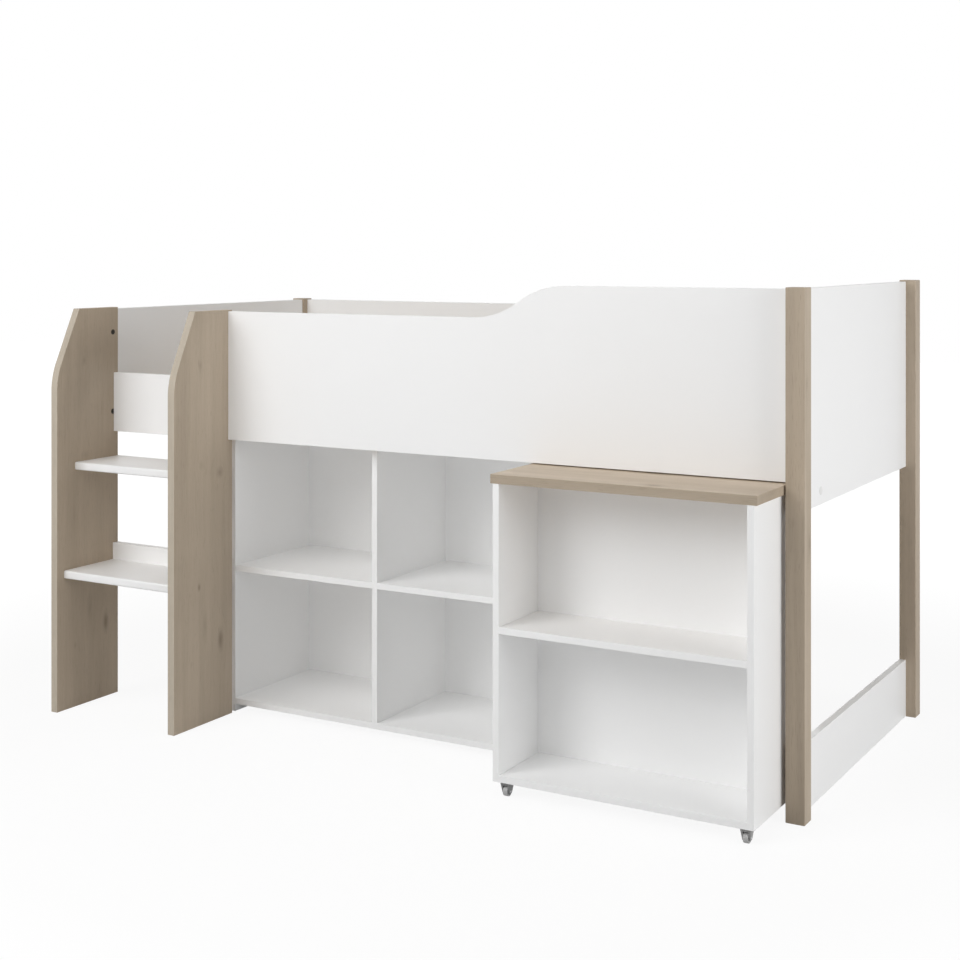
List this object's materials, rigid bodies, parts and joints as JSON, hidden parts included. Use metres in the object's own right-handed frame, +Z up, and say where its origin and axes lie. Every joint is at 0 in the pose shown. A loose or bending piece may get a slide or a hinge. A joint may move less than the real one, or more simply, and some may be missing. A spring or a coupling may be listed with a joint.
{
  "type": "mid sleeper bed",
  "caption": "Mid sleeper bed with guard panels, a side ladder, a slatted base, a bookcase of open cubes below and a desk with shelves that rolls out on castors.",
  "frame": {"origin": "on the floor, under the middle of the bed's bounding box", "axes": "+X along the bed towards the tall end by the desk, +Y towards the back guard, +Z up"},
  "size_m": [2.095, 1.175, 1.189],
  "materials": {
    "white_board": "satin",
    "oak_board": "matte",
    "slat_wood": "matte",
    "castor_shell": "matte",
    "castor_tread": "satin",
    "steel": "satin",
    "cam_metal": "matte",
    "white_plastic": "satin"
  },
  "bodies": {
    "bed_frame": {"post_front_right": "oak_board", "post_back_right": "oak_board", "post_back_left": "oak_board", "ladder_side_left": "oak_board", "ladder_side_right": "oak_board", "front_guard_panel": "white_board", "back_guard_panel": "white_board", "end_panel_right": "white_board", "end_panel_left": "white_board", "end_rail_right": "white_board", "ladder_tread_lower": "white_board", "ladder_heel_board": "white_board", "ladder_tread_upper": "white_board", "entry_rail": "white_board", "bookcase_side_left": "white_board", "bookcase_side_right": "white_board", "bookcase_bottom": "white_board", "bookcase_top": "white_board", "bookcase_divider": "white_board", "bookcase_shelf_left": "white_board", "bookcase_shelf_right": "white_board", "bookcase_back": "white_board", "slat_batten_front": "slat_wood", "slat_batten_back": "slat_wood", "slat_01": "slat_wood", "slat_02": "slat_wood", "slat_03": "slat_wood", "slat_04": "slat_wood", "slat_05": "slat_wood", "slat_06": "slat_wood", "slat_07": "slat_wood", "slat_08": "slat_wood", "slat_09": "slat_wood", "slat_10": "slat_wood", "slat_11": "slat_wood", "slat_12": "slat_wood", "slat_13": "slat_wood", "slat_14": "slat_wood", "cam_locks": "cam_metal", "end_panel_cap": "white_plastic"},
    "desk": {"desk_top": "oak_board", "desk_side_left": "white_board", "desk_side_right": "white_board", "desk_bottom": "white_board", "desk_divider": "white_board", "desk_shelf": "white_board", "castor_housing_front_left": "castor_shell", "castor_axle_front_left": "steel", "castor_housing_front_right": "castor_shell", "castor_axle_front_right": "steel", "castor_housing_back_left": "castor_shell", "castor_axle_back_left": "steel", "castor_housing_back_right": "castor_shell", "castor_axle_back_right": "steel"},
    "wheel_front_left": {"castor_wheel_front_left": "castor_tread"},
    "wheel_front_right": {"castor_wheel_front_right": "castor_tread"},
    "wheel_back_left": {"castor_wheel_back_left": "castor_tread"},
    "wheel_back_right": {"castor_wheel_back_right": "castor_tread"}
  },
  "joints": [
    {"name": "desk_slide", "type": "slide", "parent": "bed_frame", "child": "desk", "axis": [0, 1, 0], "range_m": [-0.2, 0.233]},
    {"name": "wheel_front_left_roll", "type": "hinge", "parent": "desk", "child": "wheel_front_left", "pos_m": [0.3835, -0.5475, 0.012], "axis": [1, 0, 0], "continuous": true},
    {"name": "wheel_front_right_roll", "type": "hinge", "parent": "desk", "child": "wheel_front_right", "pos_m": [0.9715, -0.5475, 0.012], "axis": [1, 0, 0], "continuous": true},
    {"name": "wheel_back_left_roll", "type": "hinge", "parent": "desk", "child": "wheel_back_left", "pos_m": [0.3835, -0.2075, 0.012], "axis": [1, 0, 0], "continuous": true},
    {"name": "wheel_back_right_roll", "type": "hinge", "parent": "desk", "child": "wheel_back_right", "pos_m": [0.9715, -0.2075, 0.012], "axis": [1, 0, 0], "continuous": true}
  ]
}
